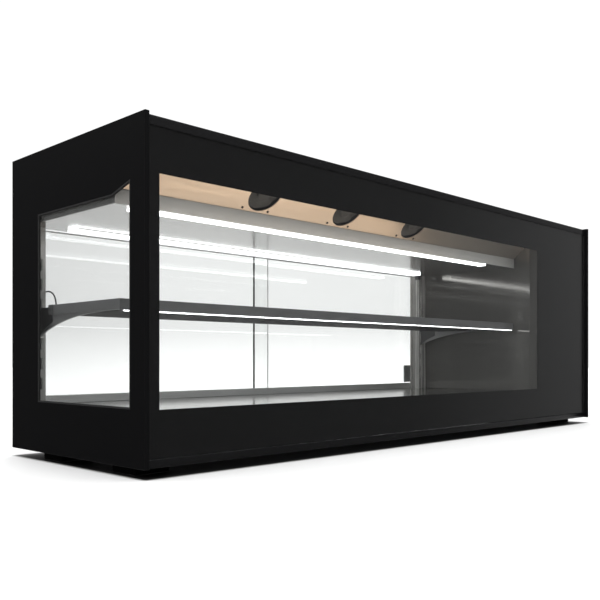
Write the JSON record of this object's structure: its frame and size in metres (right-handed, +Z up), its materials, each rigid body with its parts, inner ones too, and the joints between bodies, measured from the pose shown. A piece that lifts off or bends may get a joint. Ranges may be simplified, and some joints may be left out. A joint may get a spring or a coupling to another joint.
{
  "type": "bakery display case",
  "caption": "Countertop bakery display case with a tilting front glass, sliding rear doors, a lift-off lit shelf and its machinery at one end.",
  "frame": {"origin": "on the counter, under the middle of the case's outline", "axes": "+X along the case towards the machinery, -Y the customer's side with the front glass, +Z up"},
  "size_m": [1.2, 0.35, 0.442],
  "materials": {
    "black_powder_coat": "matte black powder coat",
    "black_glass_print": "black enamel printed behind glass",
    "clear_glass": "clear float glass, polished edges",
    "satin_steel": "satin stainless sheet",
    "polished_steel": "polished stainless sheet",
    "grey_shelf_paint": "satin dark grey paint",
    "anodised_aluminium": "satin anodised",
    "dark_plastic": "moulded, fine texture",
    "foot_rubber": "matte",
    "light_diffuser": "opal, lit",
    "insulation_foam": "rigid foam",
    "compressor_paint": "black enamel",
    "fin_aluminium": "mill finish",
    "lead_rubber": "matte"
  },
  "bodies": {
    "case": {"left_side_plate": "black_powder_coat", "right_side_plate": "black_powder_coat", "top_lid": "black_powder_coat", "base_pan": "black_powder_coat", "rear_top_panel": "black_powder_coat", "rear_service_panel": "black_powder_coat", "electrical_box": "black_powder_coat", "compressor_cradle": "black_powder_coat", "left_side_glass": "clear_glass", "deck_panel": "satin_steel", "ceiling_panel": "satin_steel", "fan_panel": "satin_steel", "upright_left": "satin_steel", "upright_right": "satin_steel", "inner_end_wall": "polished_steel", "hinge_pin_left": "anodised_aluminium", "hinge_pin_right": "anodised_aluminium", "light_profile_front": "anodised_aluminium", "light_profile_rear": "anodised_aluminium", "door_track_lower": "anodised_aluminium", "door_track_upper": "anodised_aluminium", "air_probe": "dark_plastic", "air_fan_1_frame": "dark_plastic", "air_fan_2_frame": "dark_plastic", "air_fan_3_frame": "dark_plastic", "condenser_fan_frame": "dark_plastic", "control_bezel": "dark_plastic", "power_inlet": "dark_plastic", "foot_front_left": "foot_rubber", "foot_front_right": "foot_rubber", "foot_rear_left": "foot_rubber", "foot_rear_right": "foot_rubber", "light_diffuser_front": "light_diffuser", "light_diffuser_rear": "light_diffuser", "base_insulation": "insulation_foam", "compressor": "compressor_paint", "condenser": "fin_aluminium", "evaporator": "fin_aluminium"},
    "front": {"front_glass": "clear_glass", "front_mask": "black_glass_print", "front_hinge_rail": "black_powder_coat"},
    "door_left": {"door_left_glass": "clear_glass", "door_left_pull": "anodised_aluminium"},
    "door_right": {"door_right_glass": "clear_glass", "door_right_pull": "anodised_aluminium"},
    "shelf": {"shelf_tray": "grey_shelf_paint", "shelf_bottom": "grey_shelf_paint", "shelf_light_diffuser": "light_diffuser", "bracket_left": "grey_shelf_paint", "bracket_right": "grey_shelf_paint", "shelf_light_lead": "lead_rubber"},
    "air_fan_1": {"air_fan_1_wheel": "dark_plastic"},
    "air_fan_2": {"air_fan_2_wheel": "dark_plastic"},
    "air_fan_3": {"air_fan_3_wheel": "dark_plastic"},
    "condenser_fan": {"condenser_fan_wheel": "dark_plastic"},
    "button_set": {"button_set": "dark_plastic"},
    "button_down": {"button_down": "dark_plastic"},
    "button_up": {"button_up": "dark_plastic"},
    "light_switch": {"light_switch_rocker": "dark_plastic"},
    "power_switch": {"power_switch_rocker": "dark_plastic"}
  },
  "joints": [
    {"name": "front_glass_tilt", "type": "hinge", "parent": "case", "child": "front", "pos_m": [0, -0.1625, 0.43395], "axis": [-1, 0, 0], "range_deg": [0, 75]},
    {"name": "shelf_lift", "type": "slide", "parent": "case", "child": "shelf", "axis": [0, 0, 1], "range_m": [0, 0.0588]},
    {"name": "door_left_slide", "type": "slide", "parent": "case", "child": "door_left", "axis": [1, 0, 0], "range_m": [0, 0.485]},
    {"name": "door_right_slide", "type": "slide", "parent": "case", "child": "door_right", "axis": [-1, 0, 0], "range_m": [0, 0.468]},
    {"name": "air_fan_1_spin", "type": "hinge", "parent": "case", "child": "air_fan_1", "pos_m": [-0.3592, -0.12279, 0.383], "axis": [0, 0.6629, 0.7487], "continuous": true},
    {"name": "air_fan_2_spin", "type": "hinge", "parent": "case", "child": "air_fan_2", "pos_m": [-0.1786, -0.12279, 0.383], "axis": [0, 0.6629, 0.7487], "continuous": true},
    {"name": "air_fan_3_spin", "type": "hinge", "parent": "case", "child": "air_fan_3", "pos_m": [0.002, -0.12279, 0.383], "axis": [0, 0.6629, 0.7487], "continuous": true},
    {"name": "condenser_fan_spin", "type": "hinge", "parent": "case", "child": "condenser_fan", "pos_m": [0.498, 0.138, 0.19], "axis": [0, 1, 0], "continuous": true},
    {"name": "button_set_press", "type": "slide", "parent": "case", "child": "button_set", "axis": [0, -1, 0], "range_m": [0, 0.001], "stiffness_N_per_m": 300},
    {"name": "button_down_press", "type": "slide", "parent": "case", "child": "button_down", "axis": [0, -1, 0], "range_m": [0, 0.001], "stiffness_N_per_m": 300},
    {"name": "button_up_press", "type": "slide", "parent": "case", "child": "button_up", "axis": [0, -1, 0], "range_m": [0, 0.001], "stiffness_N_per_m": 300},
    {"name": "light_switch_tip", "type": "hinge", "parent": "case", "child": "light_switch", "pos_m": [0.465, 0.1705, 0.312], "axis": [1, 0, 0], "range_deg": [0, 16]},
    {"name": "power_switch_tip", "type": "hinge", "parent": "case", "child": "power_switch", "pos_m": [0.51, 0.1705, 0.312], "axis": [1, 0, 0], "range_deg": [0, 16]}
  ]
}
